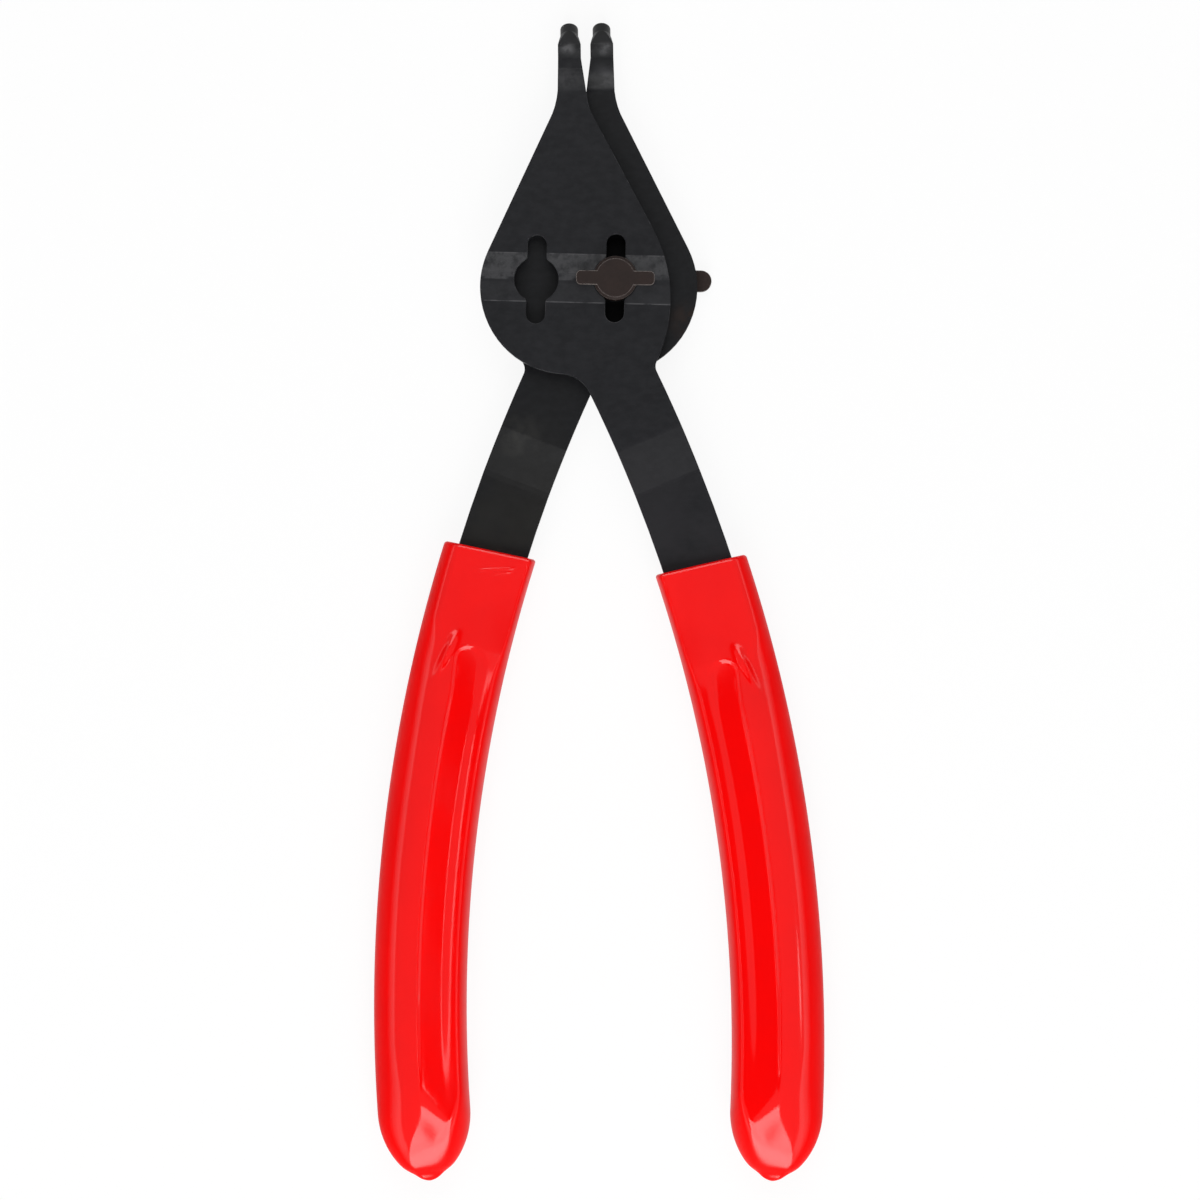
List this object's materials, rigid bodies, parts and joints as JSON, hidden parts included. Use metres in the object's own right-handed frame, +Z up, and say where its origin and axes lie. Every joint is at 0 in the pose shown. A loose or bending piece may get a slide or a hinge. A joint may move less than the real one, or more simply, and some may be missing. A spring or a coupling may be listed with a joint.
{
  "type": "circlip pliers",
  "caption": "Retaining-ring pliers with crossing black steel plates, bent tips, a quick-release keyhole pivot and red dipped vinyl grips.",
  "frame": {"origin": "middle of the part's box on the surface that it lies on, flat with the front plate up", "axes": "+Y along the tool towards the jaw tips, +X to the right seen from the front plate's side, +Z up out of the front plate"},
  "size_m": [0.068, 0.1756, 0.01],
  "materials": {
    "black_oxide": "black oxide on stamped steel, satin",
    "red_vinyl": "dip-moulded soft vinyl, glossy",
    "browned_steel": "browned steel with bright worn edges",
    "spring_steel": "oiled spring steel"
  },
  "bodies": {
    "rear_half": {"rear_plate": "black_oxide", "rear_grip": "red_vinyl"},
    "front_half": {"front_plate": "black_oxide", "front_grip": "red_vinyl"},
    "pivot_lock": {"pivot_stud": "browned_steel", "spring_washer": "spring_steel", "lock_lever": "browned_steel"}
  },
  "joints": [
    {"name": "jaw_pivot", "type": "hinge", "parent": "rear_half", "child": "front_half", "pos_m": [0.004, 0.0488, 0.005], "axis": [0, 0, 1], "range_deg": [0, 20]},
    {"name": "lock_turn", "type": "hinge", "parent": "rear_half", "child": "pivot_lock", "pos_m": [0.004, 0.0488, 0.005], "axis": [0, 0, -1], "range_deg": [0, 90]}
  ]
}
